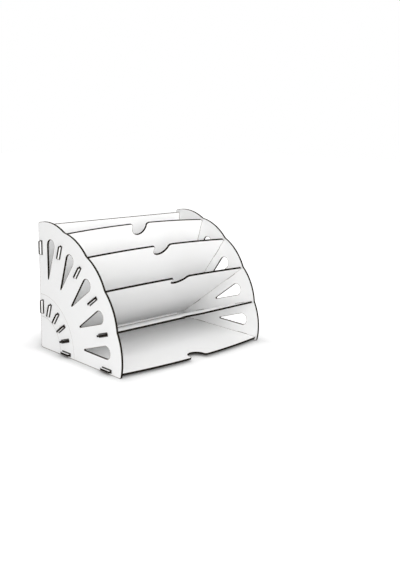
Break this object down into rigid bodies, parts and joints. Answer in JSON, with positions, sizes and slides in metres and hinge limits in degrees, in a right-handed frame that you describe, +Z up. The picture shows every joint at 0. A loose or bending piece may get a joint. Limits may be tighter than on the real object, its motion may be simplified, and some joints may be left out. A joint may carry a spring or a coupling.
{
  "type": "envelope sorter",
  "caption": "Fan-shaped desk sorter for papers and envelopes: scalloped, pierced quarter-round sides joined by tabbed panels with bowed, notched front edges.",
  "frame": {"origin": "on the table, under the middle of the object's bounding box", "axes": "+X across the width to the right seen from the front, front toward -Y, +Z up"},
  "size_m": [0.322, 0.2268, 0.2177],
  "materials": {
    "white_board": "white laminated fibreboard with scorched dark brown cut edges"
  },
  "bodies": {
    "root": {"side_panel_left": "white_board", "side_panel_right": "white_board", "base_panel": "white_board", "divider_1": "white_board", "divider_2": "white_board", "divider_3": "white_board", "divider_4": "white_board", "back_panel": "white_board"}
  },
  "joints": []
}
